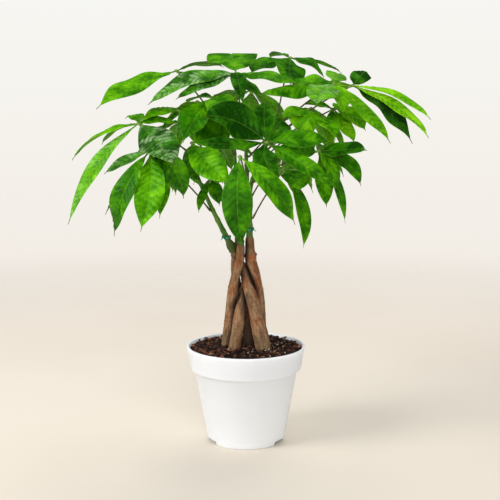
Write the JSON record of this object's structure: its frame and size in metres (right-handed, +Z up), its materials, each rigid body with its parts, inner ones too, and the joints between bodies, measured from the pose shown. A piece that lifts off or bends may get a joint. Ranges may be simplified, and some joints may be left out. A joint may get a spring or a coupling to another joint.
{
  "type": "potted money tree",
  "caption": "Money tree with a braided woody trunk, green shoots and spreading palmate leaves, growing in bark-topped soil in a plain white nursery pot that it stands on.",
  "frame": {"origin": "centre of the pot's foot ring, on the surface that the pot stands on", "axes": "+Z up along the pot's axis, -Y to the front as pictured, +X to the right"},
  "size_m": [0.447, 0.3595, 0.5109],
  "materials": {
    "pot": "white moulded plastic, satin",
    "soil": "dark damp potting mix under bark chips, matt",
    "bark": "brown fissured bark, matt",
    "shoot": "smooth green young bark, satin",
    "leaf": "waxy green blade with a lighter midrib, satin",
    "tie": "green plastic garden tie, satin"
  },
  "bodies": {
    "root": {"pot": "pot", "soil": "soil", "trunk_1": "bark", "trunk_2": "bark", "trunk_3": "bark", "trunk_4": "bark", "trunk_5": "bark", "shoot_1": "shoot", "shoot_2": "shoot", "shoot_3": "shoot", "shoot_4": "shoot", "shoot_5": "shoot", "tie_left": "tie", "tie_right": "tie", "leaf_01": "leaf", "leaf_02": "leaf", "leaf_03": "leaf", "leaf_04": "leaf", "leaf_05": "leaf", "leaf_06": "leaf", "leaf_07": "leaf", "leaf_08": "leaf", "leaf_09": "leaf", "leaf_10": "leaf", "leaf_11": "leaf", "leaf_12": "leaf", "leaf_13": "leaf", "leaf_14": "leaf", "leaf_15": "leaf", "leaf_16": "leaf", "leaf_17": "leaf", "leaf_18": "leaf", "leaf_19": "leaf", "leaf_20": "leaf", "leaf_21": "leaf", "leaf_22": "leaf", "leaf_23": "leaf", "leaf_24": "leaf"}
  },
  "joints": []
}
